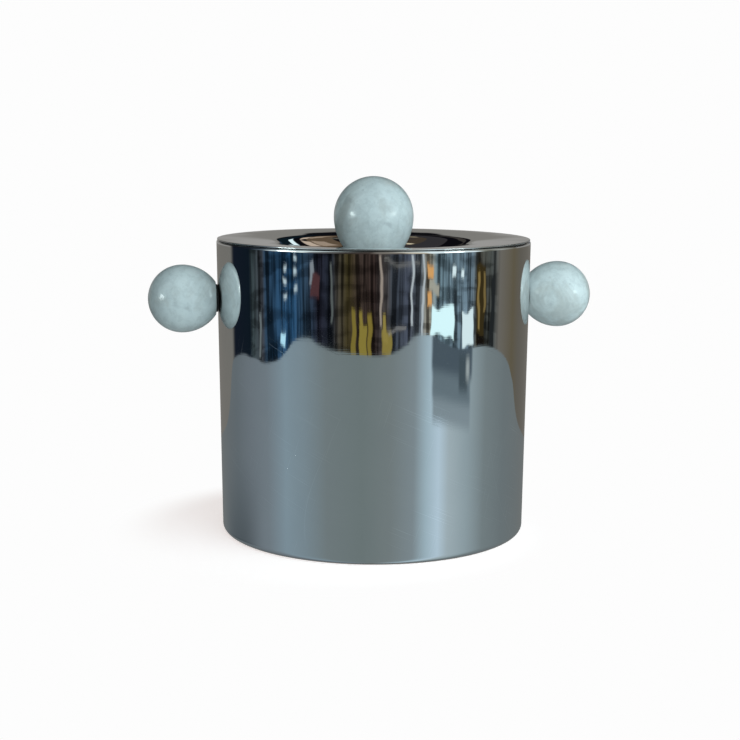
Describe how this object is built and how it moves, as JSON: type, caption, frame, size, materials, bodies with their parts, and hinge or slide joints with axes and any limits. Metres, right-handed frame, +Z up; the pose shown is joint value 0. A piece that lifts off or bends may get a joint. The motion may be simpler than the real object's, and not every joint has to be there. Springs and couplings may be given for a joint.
{
  "type": "ice bucket",
  "caption": "Double-walled polished steel ice bucket with a loose lift-off lid, dished round a stone ball knob, and a stone ball handle on each side.",
  "frame": {"origin": "centre of the base, on the plane that the bucket stands on", "axes": "+Z up along the bucket's round axis, +X through the centres of the two handle balls, +Y across the handles"},
  "size_m": [0.2444, 0.1704, 0.1938],
  "materials": {
    "polished_steel": "polished",
    "satin_steel": "satin",
    "zinc_steel": "satin",
    "brass": "satin",
    "marble": "satin",
    "black_rubber": "matte",
    "insulation": "matte"
  },
  "bodies": {
    "bucket": {"outer_shell": "polished_steel", "base_plate": "satin_steel", "inner_liner": "satin_steel", "insulation_sleeve": "insulation", "insulation_disc": "insulation", "right_handle_ball": "marble", "right_handle_collar": "black_rubber", "right_handle_insert": "brass", "right_handle_backing_plate": "zinc_steel", "right_handle_lock_washer": "zinc_steel", "right_handle_screw": "zinc_steel", "left_handle_ball": "marble", "left_handle_collar": "black_rubber", "left_handle_insert": "brass", "left_handle_backing_plate": "zinc_steel", "left_handle_lock_washer": "zinc_steel", "left_handle_screw": "zinc_steel"},
    "lid": {"lid_top": "polished_steel", "lid_pan": "satin_steel", "lid_insulation": "insulation", "lid_spacer_tube": "zinc_steel", "knob_ball": "marble", "knob_collar": "black_rubber", "knob_insert": "brass", "knob_washer": "zinc_steel", "knob_lock_washer": "zinc_steel", "knob_screw": "zinc_steel"}
  },
  "joints": [
    {"name": "lid_lift", "type": "slide", "parent": "bucket", "child": "lid", "axis": [0, 0, 1], "range_m": [0, 0.12]}
  ]
}
